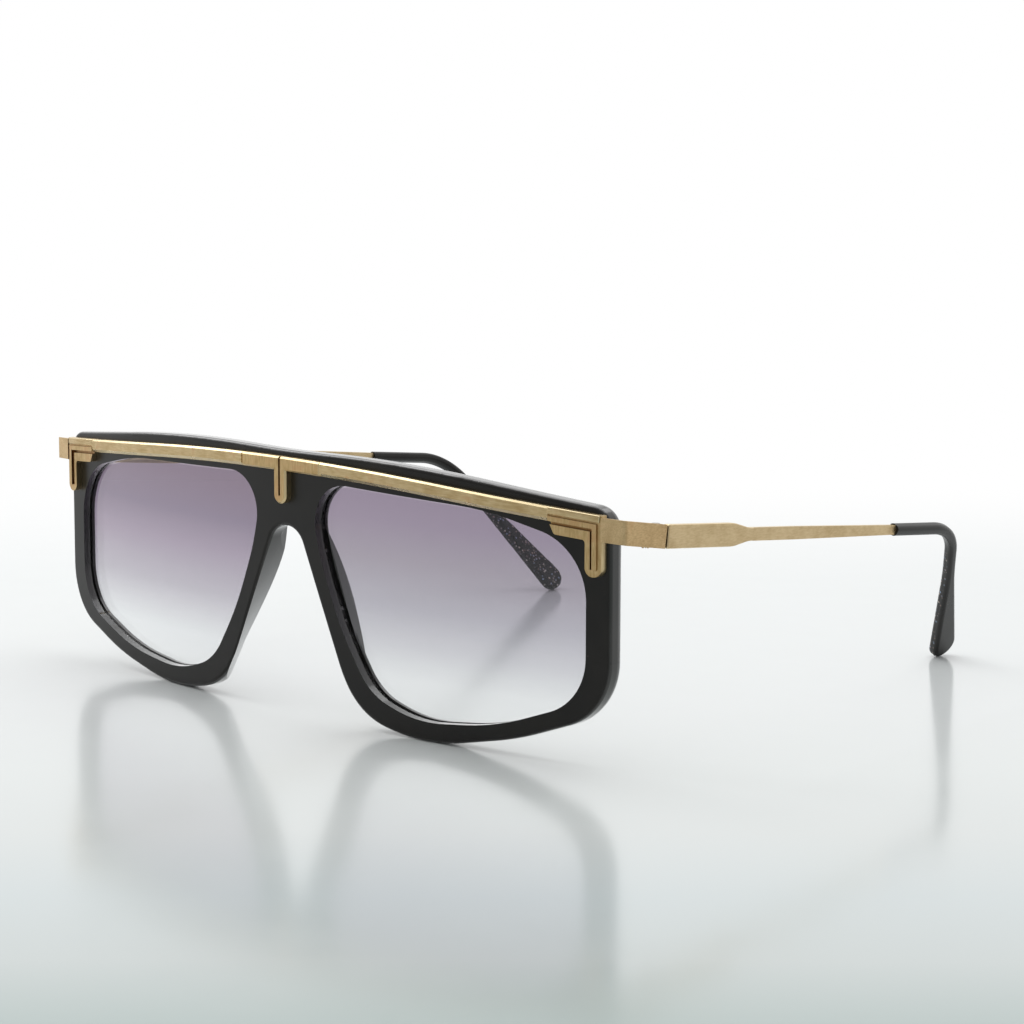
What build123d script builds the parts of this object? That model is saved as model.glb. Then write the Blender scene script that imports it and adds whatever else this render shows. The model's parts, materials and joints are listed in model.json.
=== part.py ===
"""Flat top sunglasses: a moulded front under a straight metal brow, two lenses and two folding temples.

X runs to the right across the front, Y runs back along the temples and Z is up. The glasses stand
open on a table, on the two lens rims and the two temple ends. The origin is in the middle of the
footprint, on the table. Lengths are in millimetres and angles in degrees.
"""

from build123d import *
from math import cos, radians, sin, sqrt, tan
import os

os.makedirs("parts", exist_ok=True)

# Cutting bodies run this far past what they cut.
overrun = 2.0

# Moulded front, curved about an upright axis behind it.
face_radius = 326.0
frame_thickness = 3.8
frame_half_width = 68.7
frame_height = 46.7  # up to a level line just above the two crests of its top edge
top_middle_drop = 0.8
top_crest_drop = 0.4
top_crest_share = 0.408  # where each crest is, along the half width
top_end_drop = 4.5
top_radius = 300.0
top_corner_radius = 4.0
cheek_corner_radius = 11.5
cheek_radius = 60.0
foot_radius = 40.0
foot_turn = 12.004
nose_corner_radius = 14.0
nose_wall_radius = 20.0
arch_radius = 4.5
front_edge_radius = 0.7
rear_edge_radius = 1.7

# Nose gap: half its width low down, how far it opens towards the face there, and its heights as
# shares of the front's height: the low corner, and where its walls would meet before and behind.
nose_low_half = 13.4
nose_splay = 4.0
nose_low_share = 0.193
nose_apex_share = 0.845
nose_rear_apex_share = 0.79

# Nose pads, moulded on behind the lens edge: deepest in the middle and gone at both ends.
pad_depth = 5.8
pad_end_depth = 3.0
pad_overhang = 0.8
pad_tuck = 1.2
pad_bottom_share = 0.15
pad_top_share = 0.72
pad_draft = 12.0
pad_corner_radius = 2.0
pad_side_radius = 25.0

# Lens openings, by the rim left around them.
rim_side = 4.4
rim_bottom = 3.3
rim_top = 5.45
bridge_half = 8.1
opening_radii = (60.0, 11.0, 10.0, 52.0, 26.0, 12.0, 55.0)
inner_corner_share = 0.185
inner_wall_share = 0.95

# Lenses.
lens_depth = 1.4
lens_thickness = 1.8
lens_groove = 0.6

# Metal brow.
brow_drop = 0.5
brow_slope_share = 0.072
brow_radius = 500.0
brow_height = 2.4
brow_proud = 1.35
brow_top_bevel = 0.3
brow_low_bevel = 0.55
tee_half_width = 10.0
prong_half_width = 1.55
prong_length = 9.45
prong_groove_width = 0.45
prong_groove_depth = 0.5
prong_groove_length = 8.1

# Corner brackets at the ends of the brow.
bracket_length = 14.0
bracket_nose = 1.0
bracket_height = 4.3
bracket_leg_width = 3.0
bracket_leg_drop = 14.8
bracket_thickness = 1.15
bracket_corner_radius = 0.6
ridge_width = 0.8
ridge_inset = 0.75
ridge_height = 0.3
bracket_groove_width = 0.55
bracket_groove_depth = 0.45

# Side plates, bent back from the front.
plate_overhang = 3.5
plate_thickness = 1.3
plate_height = 3.85
plate_bend_radius = 0.8
plate_slope = 9.5
block_width = 4.3

# Hinges.
hinge_y = 16.75
hinge_drop = 8.9
seam = 0.5
knuckle_radius = 1.2
knuckle_height = 1.0
knuckle_gap = 0.05
hinge_clear = 0.15
leaf_thickness = 0.9
leaf_length = 5.2
leaf_height = 2.6
leaf_setback = 1.7
leaf_lap = 0.8
leaf_corner_radius = 0.4
screw_radius = 0.5
screw_fit = 0.05
screw_head_radius = 0.85
screw_head_height = 0.3

# Temples: a wide plate at the hinge, a narrow strip and a moulded end.
temple_in = 4.0
temple_down = 5.9
temple_plate_height = 3.9
temple_plate_edge = 0.22
temple_plate_length = 18.2
temple_neck_length = 4.3
temple_neck_height = 2.2
temple_collar_length = 1.1
temple_corner_radius = 0.3
temple_blend_radius = 8.0
strip_thickness = 1.0
strip_end_height = 1.7
strip_full_length = 12.0
tang_length = 3.0
tang_height = 1.4
tang_thickness = 0.6
temple_length = 66.9

# Moulded temple ends, bent down and in.
tip_lean = 29.0
tip_straight = 13.5
tip_bend = 52.0
tip_bend_radius = 13.0
tip_drop = 30.735
tip_thickness = 2.1
tip_start_width = 2.0
tip_bend_width = 2.0
tip_neck_width = 1.95
tip_neck_share = 0.36
tip_neck_radius = 60.0
tip_end_width = 6.0
tip_end_share = 0.44  # radius of each end corner, as a share of that width
tip_edge_radius = 0.8
core_radius = 0.55
core_end = 15.0

# Screws from behind that hold the brow.
brow_screw_radius = 0.6
brow_screw_head_radius = 1.05
brow_screw_head_height = 0.6
brow_screw_bite = 0.8
screw_slot_width = 0.3
screw_slot_depth = 0.25
brow_screw_drop = 5.9
leg_screw_drop = 12.0


def meet(start, toward, other, other_toward):
    """Point where two lines of a sketch cross, each given by a point and a direction."""
    span = Vector(*other) - Vector(*start)
    turn = toward[0] * other_toward[1] - toward[1] * other_toward[0]
    along = (span.X * other_toward[1] - span.Y * other_toward[0]) / turn
    return (start[0] + along * toward[0], start[1] + along * toward[1])


# Heights and spans that follow the front.
plate_half_span = frame_half_width + plate_overhang
brow_peak = frame_height - brow_drop
hinge_z = brow_peak - hinge_drop
prong_bottom = brow_peak - prong_length
bracket_start = plate_half_span - bracket_length
bracket_leg_bottom = brow_peak - bracket_leg_drop
brow_screw_z = brow_peak - brow_screw_drop
leg_screw_z = brow_peak - leg_screw_drop
nose_low_z = frame_height * nose_low_share
nose_apex_z = frame_height * nose_apex_share
nose_rear_apex_z = frame_height * nose_rear_apex_share
pad_bottom = frame_height * pad_bottom_share
pad_top = frame_height * pad_top_share

# Temple directions for the right side: along the temple, out of its flat side, and up its flat side.
along = Vector(
    -sin(radians(temple_in)) * cos(radians(temple_down)),
    cos(radians(temple_in)) * cos(radians(temple_down)),
    -sin(radians(temple_down)),
)
outward = Vector(cos(radians(temple_in)), sin(radians(temple_in)), 0)
upward = outward.cross(along)
tip_inward = -upward * cos(radians(tip_lean)) - outward * sin(radians(tip_lean))

# The whole part is moved along Y so that the origin is in the middle of the footprint.
tip_reach = along * (
    temple_length
    + tip_straight
    + tip_bend_radius * sin(radians(tip_bend))
    + tip_drop * cos(radians(tip_bend))
) + tip_inward * (tip_bend_radius * (1 - cos(radians(tip_bend))) + tip_drop * sin(radians(tip_bend)))
rear_y = hinge_y + tip_reach.Y + tip_end_width / 2 * sin(radians(tip_bend))
face_y = (brow_proud - rear_y) / 2
curve_y = face_y + face_radius
front_reach = frame_half_width / 2
elevation = Plane.XZ.offset(-face_y)

# Hinge pin and the plates beside it.
plate_inner = plate_half_span - plate_thickness
hinge_x = plate_inner - hinge_clear - knuckle_radius
pin_y = face_y + hinge_y
temple_start = Vector(plate_half_span - plate_thickness / 2, pin_y, hinge_z)
temple_side = Plane(origin=temple_start, x_dir=along, z_dir=outward)
side_along = Vector(0, cos(radians(plate_slope)), -sin(radians(plate_slope)))
side_plane = Plane(origin=(plate_inner, pin_y, hinge_z), x_dir=side_along, z_dir=(1, 0, 0))


def band_plan(proud, depth):
    """Plan of a wall that follows the front, from so far before its face to so far behind it."""
    with BuildSketch(Plane.XY.offset(-overrun)) as plan:
        with Locations((0, curve_y)):
            Circle(face_radius + proud)
            Circle(face_radius - depth, mode=Mode.SUBTRACT)
    return plan.sketch


def face_plane(x, z):
    """Plane that touches the front's face at the given place, with its normal pointing out."""
    turn = x / face_radius
    back = sqrt(face_radius**2 - x**2)
    return Plane(origin=(x, curve_y - back, z), x_dir=(back, x, 0), z_dir=(turn * face_radius, -back, 0))


def edges_at(part, radius):
    """Edges that lie all along the upright cylinder of the given radius about the front's axis."""

    def is_on(edge):
        gaps = [
            abs(sqrt((edge @ place).X ** 2 + ((edge @ place).Y - curve_y) ** 2) - radius)
            for place in (0, 0.5, 1)
        ]
        return max(gaps) < face_radius / 1e6

    return part.edges().filter_by(is_on)


# Outline of the moulded front, right half from the top centre round to the nose arch.
foot_z = foot_radius - foot_radius / cos(radians(foot_turn))
right_corners = (
    (frame_half_width * top_crest_share, frame_height - top_crest_drop, top_radius),
    (frame_half_width, frame_height - top_end_drop, top_corner_radius),
    (frame_half_width, frame_height * 0.2, cheek_corner_radius),
    (frame_half_width * 0.744, frame_height * 0.063, cheek_radius),
    (frame_half_width * 0.466, foot_z, foot_radius),
    (nose_low_half * 1.3, frame_height * 0.0512, nose_corner_radius),
    (nose_low_half, nose_low_z, nose_wall_radius),
)
outline_points = [(0, frame_height - top_middle_drop)]
outline_points += [(x, z) for x, z, radius in right_corners]
outline_points += [(0, nose_apex_z)]
outline_points += [(-x, z) for x, z, radius in reversed(right_corners)]
outline_radii = [top_radius]
outline_radii += [radius for x, z, radius in right_corners]
outline_radii += [arch_radius]
outline_radii += [radius for x, z, radius in reversed(right_corners)]

with BuildSketch(elevation) as frame_outline:
    with BuildLine():
        FilletPolyline(*outline_points, radius=outline_radii, close=True)
    make_face()

# Outline of the right opening, as shares of the box between its rims.
opening_outer = frame_half_width - rim_side
opening_width = opening_outer - bridge_half
opening_top = frame_height - rim_top
opening_height = opening_top - rim_bottom
opening_shares = (
    (-0.045, 1.005),
    (0.657, 0.971),
    (1.0, 0.856),
    (1.0, 0.199),
    (0.692, 0.034),
    (0.407, -0.008),
    (0.217, 0.079),
    (0.091, 0.365),
    (0.009, 0.661),
)
opening_points = [
    (bridge_half + across * opening_width, rim_bottom + up * opening_height)
    for across, up in opening_shares
]
opening_fillets = (
    opening_height * inner_corner_share,
    *opening_radii,
    opening_height * inner_wall_share,
)

with BuildSketch(elevation) as opening_outline:
    with BuildLine():
        FilletPolyline(*opening_points, radius=opening_fillets, close=True)
    make_face()

with BuildSketch(elevation) as lens_outline:
    add(opening_outline.sketch)
    offset(amount=lens_groove, kind=Kind.ARC)

# Body that cuts the nose gap, wider towards the face of the wearer, most of all low down.
gap_foot_half, gap_foot_z = meet(
    (nose_low_half, nose_low_z),
    (nose_low_half * 0.3, frame_height * 0.0512 - nose_low_z),
    (0, -overrun),
    (1, 0),
)


def gap_points(low_half, foot_half, apex_z):
    """Corners of the nose gap, from its foot on the right up and down to its foot on the left."""
    return (
        (foot_half, gap_foot_z),
        (low_half, nose_low_z),
        (0, apex_z),
        (-low_half, nose_low_z),
        (-foot_half, gap_foot_z),
    )


gap_radii = (0, nose_wall_radius, arch_radius, nose_wall_radius, 0)
gap_depth = pad_depth + overrun
gap_splay = nose_splay * gap_depth / pad_depth
with BuildPart() as gap_cut:
    with BuildSketch(elevation):
        with BuildLine():
            FilletPolyline(*gap_points(nose_low_half, gap_foot_half, nose_apex_z), radius=gap_radii, close=True)
        make_face()
    with BuildSketch(elevation.offset(-gap_depth)):
        with BuildLine():
            FilletPolyline(
                *gap_points(nose_low_half + gap_splay, gap_foot_half + gap_splay, nose_rear_apex_z),
                radius=gap_radii,
                close=True,
            )
        make_face()
    loft(ruled=True)

# Nose pad outline: its gap side is the wall of the gap, its lens side follows the opening.
pad_start = lens_depth + lens_thickness / 2
upper_nose = opening_points[8]
middle_nose = opening_points[7]
lower_nose = opening_points[6]
pad_foot = meet(
    middle_nose,
    (lower_nose[0] - middle_nose[0], lower_nose[1] - middle_nose[1]),
    (0, pad_bottom),
    (1, 0),
)
gap_slope_share = nose_low_half / (nose_apex_z - nose_low_z)
with BuildSketch(elevation.offset(-pad_start)) as pad_outline:
    with BuildLine():
        FilletPolyline(
            ((nose_apex_z - pad_top) * gap_slope_share, pad_top),
            (upper_nose[0] - pad_overhang, pad_top),
            (middle_nose[0] + pad_overhang, middle_nose[1]),
            (pad_foot[0] - pad_tuck, pad_bottom),
            ((nose_apex_z - pad_bottom) * gap_slope_share, pad_bottom),
            radius=(0, pad_corner_radius, pad_side_radius, pad_corner_radius, 0),
            close=True,
        )
    make_face()

# Side view of a nose pad: one long swell.
with BuildSketch(Plane.YZ) as pad_side:
    with BuildLine():
        ThreePointArc(
            (face_y + pad_end_depth, pad_bottom),
            (face_y + pad_depth, (pad_bottom + pad_top) / 2),
            (face_y + pad_end_depth, pad_top),
        )
        Polyline(
            (face_y + pad_end_depth, pad_top),
            (face_y, pad_top),
            (face_y, pad_bottom),
            (face_y + pad_end_depth, pad_bottom),
        )
    make_face()

with BuildPart() as lens_right:
    extrude(band_plan(-lens_depth, lens_depth + lens_thickness), amount=frame_height + overrun * 2)
    extrude(lens_outline.sketch, amount=front_reach, both=True, mode=Mode.INTERSECT)

with BuildPart() as lens_left:
    mirror(lens_right.part, about=Plane.YZ)


def brow_screw(x, z):
    """Headed screw along the normal of the face, with its head sunk in the back of the front."""
    back_plane = face_plane(x, z).offset(-frame_thickness)
    with BuildPart() as screw:
        with BuildSketch(back_plane):
            Circle(brow_screw_head_radius)
        extrude(amount=brow_screw_head_height)
        with BuildSketch(back_plane):
            Circle(brow_screw_radius)
        extrude(amount=frame_thickness + brow_screw_bite)
        with BuildSketch(back_plane):
            Rectangle(brow_screw_head_radius * 2 + overrun, screw_slot_width)
        extrude(amount=screw_slot_depth, mode=Mode.SUBTRACT)
    return screw.part


def screw_clearance(x, z):
    """Solid of the same screw without its slot, for the hole that it fills."""
    back_plane = face_plane(x, z).offset(-frame_thickness)
    with BuildPart() as hole:
        with BuildSketch(back_plane.offset(brow_screw_head_height)):
            Circle(brow_screw_head_radius)
        extrude(amount=-brow_screw_head_height - overrun)
        with BuildSketch(back_plane):
            Circle(brow_screw_radius)
        extrude(amount=frame_thickness + brow_screw_bite)
    return hole.part


bracket_outer = plate_half_span - block_width
leg_screw_x = bracket_outer - bracket_leg_width / 2

with BuildPart() as brow_screw_center:
    add(brow_screw(0, brow_screw_z))

with BuildPart() as brow_screw_right:
    add(brow_screw(leg_screw_x, leg_screw_z))


with BuildPart() as brow_screw_left:
    mirror(brow_screw_right.part, about=Plane.YZ)

with BuildPart() as nose_pad:
    extrude(pad_outline.sketch, amount=pad_start - pad_depth, taper=pad_draft)
    extrude(pad_side.sketch, amount=frame_half_width, mode=Mode.INTERSECT)

with BuildPart() as front_frame:
    extrude(band_plan(0, frame_thickness), amount=frame_height + overrun * 2)
    extrude(frame_outline.sketch, amount=front_reach, both=True, mode=Mode.INTERSECT)
    fillet(edges_at(front_frame.part, face_radius), front_edge_radius)
    fillet(edges_at(front_frame.part, face_radius - frame_thickness), rear_edge_radius)
    for side in (opening_outline.sketch, mirror(opening_outline.sketch, about=Plane.YZ, mode=Mode.PRIVATE)):
        extrude(side, amount=front_reach, both=True, mode=Mode.SUBTRACT)
    add(nose_pad.part)
    mirror(nose_pad.part, about=Plane.YZ)
    add(gap_cut.part, mode=Mode.SUBTRACT)
    add(lens_right.part, mode=Mode.SUBTRACT)
    add(lens_left.part, mode=Mode.SUBTRACT)
    for x, z in ((0, brow_screw_z), (leg_screw_x, leg_screw_z), (-leg_screw_x, leg_screw_z)):
        add(screw_clearance(x, z), mode=Mode.SUBTRACT)

# Metal brow, laid on the face of the front.
brow_end_z = brow_peak - plate_half_span * brow_slope_share
with BuildSketch(elevation) as brow_outline:
    with BuildLine():
        FilletPolyline(
            (-plate_half_span, brow_end_z),
            (0, brow_peak),
            (plate_half_span, brow_end_z),
            (plate_half_span, brow_end_z - brow_height),
            (0, brow_peak - brow_height),
            (-plate_half_span, brow_end_z - brow_height),
            radius=(0, brow_radius, 0, 0, brow_radius, 0),
            close=True,
        )
    make_face()


def brow_z(x):
    """Height of the brow's straight top line at a place across the front."""
    return brow_peak - x * brow_slope_share


with BuildSketch(elevation) as tee_outline:
    add(brow_outline.sketch)
    with Locations((0, brow_peak - brow_height)):
        Rectangle(tee_half_width * 2, brow_peak, mode=Mode.INTERSECT)
    with Locations((0, (prong_bottom + brow_peak - brow_height * 0.7) / 2)):
        SlotOverall(brow_peak - brow_height * 0.7 - prong_bottom, prong_half_width * 2, rotation=90)

with BuildPart() as brow_tee:
    extrude(band_plan(brow_proud, 0), amount=brow_peak + overrun * 2)
    extrude(tee_outline.sketch, amount=front_reach, both=True, mode=Mode.INTERSECT)
    chamfer(edges_at(brow_tee.part, face_radius + brow_proud), brow_top_bevel)
    with BuildSketch(elevation.offset(brow_proud)):
        with Locations((0, brow_peak - prong_groove_length / 2)):
            SlotOverall(prong_groove_length, prong_groove_width, rotation=90)
    extrude(amount=-prong_groove_depth, mode=Mode.SUBTRACT)
    add(screw_clearance(0, brow_screw_z), mode=Mode.SUBTRACT)

with BuildPart() as brow_bar_right:
    extrude(band_plan(brow_proud, 0), amount=brow_peak + overrun * 2)
    extrude(brow_outline.sketch, amount=front_reach, both=True, mode=Mode.INTERSECT)
    with BuildSketch(elevation):
        with Locations(((tee_half_width + bracket_start) / 2, brow_peak - brow_height)):
            Rectangle(bracket_start - tee_half_width, brow_peak)
    extrude(amount=front_reach, both=True, mode=Mode.INTERSECT)
    long_edges = edges_at(brow_bar_right.part, face_radius + brow_proud)
    long_edges = long_edges.filter_by(lambda edge: edge.length > brow_height * 1.5)
    chamfer(
        long_edges.filter_by(lambda edge: (edge @ 0.5).Z > brow_z((edge @ 0.5).X) - brow_height / 2),
        brow_top_bevel,
    )
    low_edges = edges_at(brow_bar_right.part, face_radius + brow_proud)
    low_edges = low_edges.filter_by(lambda edge: edge.length > brow_height * 1.5)
    chamfer(
        low_edges.filter_by(lambda edge: (edge @ 0.5).Z < brow_z((edge @ 0.5).X) - brow_height / 2),
        brow_low_bevel,
    )

# Corner bracket: a plate along the end of the brow with a leg down the rim, and a raised corner on it.
bracket_tip_x = bracket_start + bracket_nose
leg_inner_x = bracket_outer - bracket_leg_width
with BuildSketch(elevation) as bracket_outline:
    with BuildLine():
        FilletPolyline(
            (bracket_start, brow_z(bracket_start)),
            (bracket_outer, brow_z(bracket_outer)),
            (bracket_outer, bracket_leg_bottom),
            (leg_inner_x, bracket_leg_bottom),
            (leg_inner_x, brow_z(leg_inner_x) - bracket_height),
            (bracket_tip_x, brow_z(bracket_tip_x) - bracket_height),
            (bracket_start, brow_z(bracket_start) - brow_height),
            radius=(
                0,
                0,
                bracket_leg_width * 0.48,
                bracket_leg_width * 0.48,
                bracket_corner_radius,
                bracket_corner_radius,
                0,
            ),
            close=True,
        )
    make_face()



def corner_band(inset, width):
    """Sketch of an L on the bracket: so far in from its outer side, down to the round of its leg."""
    outer_x = bracket_outer - inset
    inner_x = outer_x - width
    top_drop = brow_height * 0.6 + inset - ridge_inset
    low_z = bracket_leg_bottom + bracket_leg_width * 0.4
    with BuildSketch(elevation) as band:
        with BuildLine():
            Polyline(
                (bracket_start, brow_z(bracket_start) - top_drop),
                (outer_x, brow_z(outer_x) - top_drop),
                (outer_x, low_z),
                (inner_x, low_z),
                (inner_x, brow_z(inner_x) - top_drop - width),
                (bracket_start, brow_z(bracket_start) - top_drop - width),
                close=True,
            )
        make_face()
    return band.sketch


with BuildPart() as bracket_ridge:
    extrude(band_plan(bracket_thickness + ridge_height, 0), amount=brow_peak + overrun * 2)
    extrude(corner_band(ridge_inset, ridge_width), amount=front_reach, both=True, mode=Mode.INTERSECT)

with BuildPart() as bracket_groove:
    extrude(
        band_plan(bracket_thickness + overrun, bracket_groove_depth - bracket_thickness),
        amount=brow_peak + overrun * 2,
    )
    extrude(
        corner_band(ridge_inset + ridge_width, bracket_groove_width),
        amount=front_reach,
        both=True,
        mode=Mode.INTERSECT,
    )

with BuildPart() as corner_bracket_right:
    extrude(band_plan(bracket_thickness, 0), amount=brow_peak + overrun * 2)
    extrude(bracket_outline.sketch, amount=front_reach, both=True, mode=Mode.INTERSECT)
    add(bracket_ridge.part)
    add(bracket_groove.part, mode=Mode.SUBTRACT)
    add(screw_clearance(leg_screw_x, leg_screw_z), mode=Mode.SUBTRACT)

# Side plate: a block on the end of the front, bent back along the side to the hinge.
with BuildSketch(Plane.XY) as block_plan:
    with Locations((plate_half_span - block_width / 2, face_y)):
        Rectangle(block_width, front_reach * 2)
    with Locations((0, curve_y)):
        Circle(face_radius + brow_proud, mode=Mode.INTERSECT)
        Circle(face_radius, mode=Mode.SUBTRACT)

with BuildSketch(Plane.XY) as side_plan:
    with Locations((plate_half_span - plate_thickness / 2, pin_y - front_reach / 2)):
        Rectangle(plate_thickness, front_reach)
    with Locations((0, curve_y)):
        Circle(face_radius + brow_proud, mode=Mode.INTERSECT)

with BuildPart() as endpiece_right:
    extrude(block_plan.sketch, amount=brow_peak)
    extrude(side_plan.sketch, amount=brow_peak)
    fillet(endpiece_right.edges().filter_by(Axis.Z).sort_by(Axis.Y)[:2].sort_by(Axis.X)[-1], plate_bend_radius)
    with BuildSketch(side_plane):
        with Locations((-front_reach / 2 - seam / 2, 0)):
            Rectangle(front_reach, plate_height)
    extrude(amount=front_reach, both=True, mode=Mode.INTERSECT)

# Hinge: two knuckles on the front, one between them on the temple, and a screw down through all.
stack_bottom = hinge_z - knuckle_height * 1.5 - knuckle_gap
stack_top = hinge_z + knuckle_height * 1.5 + knuckle_gap


def knuckle(bottom, reach, bore):
    """Eye of the hinge with an arm that reaches along Y as far as its leaf."""
    with BuildPart() as eye:
        with BuildSketch(Plane.XY.offset(bottom)):
            with Locations((hinge_x, pin_y)):
                Circle(knuckle_radius)
            with Locations(((hinge_x + plate_inner) / 2, pin_y + reach / 2)):
                Rectangle(plate_inner - hinge_x, abs(reach))
            with Locations((hinge_x, pin_y)):
                Circle(bore, mode=Mode.SUBTRACT)
        extrude(amount=knuckle_height)
    return eye.part


arm_reach = leaf_setback + leaf_lap
with BuildPart() as hinge_front_right:
    with BuildSketch(side_plane):
        with Locations((-leaf_setback - leaf_length / 2, 0)):
            RectangleRounded(leaf_length, leaf_height, leaf_corner_radius)
    extrude(amount=-leaf_thickness)
    add(knuckle(stack_bottom, -arm_reach, screw_radius))
    add(knuckle(stack_top - knuckle_height, -arm_reach, screw_radius))

temple_plate_end = temple_plate_length + temple_neck_length + temple_collar_length
with BuildPart() as temple_plate_right:
    with BuildSketch(temple_side):
        with BuildLine():
            FilletPolyline(
                (seam / 2, -temple_plate_height / 2),
                (temple_plate_length, -temple_plate_height / 2),
                (temple_plate_length + temple_neck_length, -temple_neck_height / 2),
                (temple_plate_end, -temple_neck_height / 2),
                (temple_plate_end, temple_neck_height / 2),
                (temple_plate_length + temple_neck_length, temple_neck_height / 2),
                (temple_plate_length, temple_plate_height / 2),
                (seam / 2, temple_plate_height / 2),
                radius=(
                    temple_corner_radius,
                    temple_blend_radius,
                    temple_blend_radius,
                    0,
                    0,
                    temple_blend_radius,
                    temple_blend_radius,
                    temple_corner_radius,
                ),
                close=True,
            )
        make_face()
    extrude(amount=plate_thickness / 2, both=True)
    flat_sides = temple_plate_right.faces().filter_by(temple_side)
    fillet(
        flat_sides.edges().filter_by(
            lambda edge: (edge @ 0.5 - temple_start).dot(along) < temple_plate_end - temple_corner_radius
        ),
        temple_plate_edge,
    )
    with BuildSketch(temple_side):
        with Locations((temple_plate_end - tang_length / 2, 0)):
            Rectangle(tang_length, tang_height)
    extrude(amount=tang_thickness / 2, both=True, mode=Mode.SUBTRACT)

with BuildPart() as hinge_temple_right:
    with BuildSketch(temple_side.offset(-plate_thickness / 2)):
        with Locations((leaf_setback + leaf_length / 2, 0)):
            RectangleRounded(leaf_length, leaf_height, leaf_corner_radius)
    extrude(amount=-leaf_thickness)
    add(knuckle(hinge_z - knuckle_height / 2, arm_reach, screw_radius + screw_fit))
    add(temple_plate_right.part, mode=Mode.SUBTRACT)

with BuildPart() as hinge_screw_right:
    with BuildSketch(Plane.XY.offset(stack_bottom)):
        with Locations((hinge_x, pin_y)):
            Circle(screw_radius)
    extrude(amount=stack_top - stack_bottom)
    with BuildSketch(Plane.XY.offset(stack_top)):
        with Locations((hinge_x, pin_y)):
            Circle(screw_head_radius)
    extrude(amount=screw_head_height)
    with BuildSketch(Plane.XY.offset(stack_top + screw_head_height)):
        with Locations((hinge_x, pin_y)):
            Rectangle(screw_head_radius * 2 + overrun, screw_slot_width)
    extrude(amount=-screw_slot_depth, mode=Mode.SUBTRACT)

# Moulded temple end in its own plane: X runs on along the temple, Y runs down and in.
tip_plane = Plane(
    origin=temple_start + along * temple_length,
    x_dir=along,
    z_dir=along.cross(tip_inward),
)
drop_way = (cos(radians(tip_bend)), sin(radians(tip_bend)))
drop_side = (drop_way[1], -drop_way[0])
bend_tangent = tip_bend_radius * tan(radians(tip_bend / 2))
corner_x = tip_straight + bend_tangent
drop_length = bend_tangent + tip_drop


def drop_point(distance, aside):
    """Place on the straight drop of the temple end, so far from its corner and to its outer side."""
    return (
        corner_x + drop_way[0] * distance + drop_side[0] * aside,
        drop_way[1] * distance + drop_side[1] * aside,
    )


def drop_edge(sign):
    """Corners of one edge of the temple end: where it turns down, where it widens and where it ends."""
    near = drop_point(0, sign * tip_bend_width / 2)
    neck = drop_point(drop_length * tip_neck_share, sign * tip_neck_width / 2)
    far = drop_point(drop_length, sign * tip_end_width / 2)
    turn = meet((0, -sign * tip_start_width / 2), (1, 0), near, (neck[0] - near[0], neck[1] - near[1]))
    return turn, neck, far


outer_turn, outer_neck, outer_far = drop_edge(1)
inner_turn, inner_neck, inner_far = drop_edge(-1)

with BuildPart() as tip_core:
    with BuildLine(tip_plane) as core_path:
        start_line = Line((0, 0), (tip_straight, 0))
        bend_end = drop_point(bend_tangent, 0)
        bend_arc = TangentArc((tip_straight, 0), bend_end, tangent=start_line % 1)
        Line(bend_end, drop_point(bend_tangent + core_end, 0))
    with BuildSketch(Plane(origin=core_path.line @ 0, z_dir=core_path.line % 0)):
        Circle(core_radius)
    sweep()

strip_half_start = temple_neck_height / 2
with BuildPart() as temple_strip_right:
    with BuildSketch(temple_side):
        with BuildLine():
            Polyline(
                (temple_plate_end, -strip_half_start),
                (temple_plate_end + strip_full_length, -strip_half_start),
                (temple_length, -strip_end_height / 2),
                (temple_length, strip_end_height / 2),
                (temple_plate_end + strip_full_length, strip_half_start),
                (temple_plate_end, strip_half_start),
                close=True,
            )
        make_face()
    extrude(amount=strip_thickness / 2, both=True)
    with BuildSketch(temple_side):
        with Locations((temple_plate_end - tang_length / 2, 0)):
            Rectangle(tang_length, tang_height)
    extrude(amount=tang_thickness / 2, both=True)
    add(tip_core.part)

with BuildPart() as temple_tip_right:
    with BuildSketch(tip_plane):
        with BuildLine():
            FilletPolyline(
                (0, -tip_start_width / 2),
                outer_turn,
                outer_neck,
                outer_far,
                inner_far,
                inner_neck,
                inner_turn,
                (0, tip_start_width / 2),
                radius=(
                    0,
                    tip_bend_radius + tip_bend_width / 2,
                    tip_neck_radius,
                    tip_end_width * tip_end_share,
                    tip_end_width * tip_end_share,
                    tip_neck_radius,
                    tip_bend_radius - tip_bend_width / 2,
                    0,
                ),
                close=True,
            )
        make_face()
    extrude(amount=tip_thickness / 2, both=True)
    flat_sides = temple_tip_right.faces().filter_by(tip_plane)
    fillet(
        flat_sides.edges().filter_by(
            lambda edge: (edge @ 0.5 - tip_plane.origin).dot(along) > tip_straight / 10
        ),
        tip_edge_radius,
    )
    add(tip_core.part, mode=Mode.SUBTRACT)

front_pieces = {
    "front_frame": front_frame,
    "lens_right": lens_right,
    "lens_left": lens_left,
    "brow_tee": brow_tee,
    "brow_screw_center": brow_screw_center,
    "brow_screw_right": brow_screw_right,
    "brow_screw_left": brow_screw_left,
}
for name, piece in front_pieces.items():
    piece.part.label = name
    export_step(piece.part, f"parts/{name}.step")

paired_pieces = {
    "brow_bar": brow_bar_right,
    "corner_bracket": corner_bracket_right,
    "endpiece": endpiece_right,
    "hinge_front": hinge_front_right,
    "hinge_screw": hinge_screw_right,
    "hinge_temple": hinge_temple_right,
    "temple_plate": temple_plate_right,
    "temple_strip": temple_strip_right,
    "temple_tip": temple_tip_right,
}
for name, piece in paired_pieces.items():
    with BuildPart() as other:
        mirror(piece.part, about=Plane.YZ)
    piece.part.label = f"{name}_right"
    export_step(piece.part, f"parts/{name}_right.step")
    other.part.label = f"{name}_left"
    export_step(other.part, f"parts/{name}_left.step")
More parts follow.
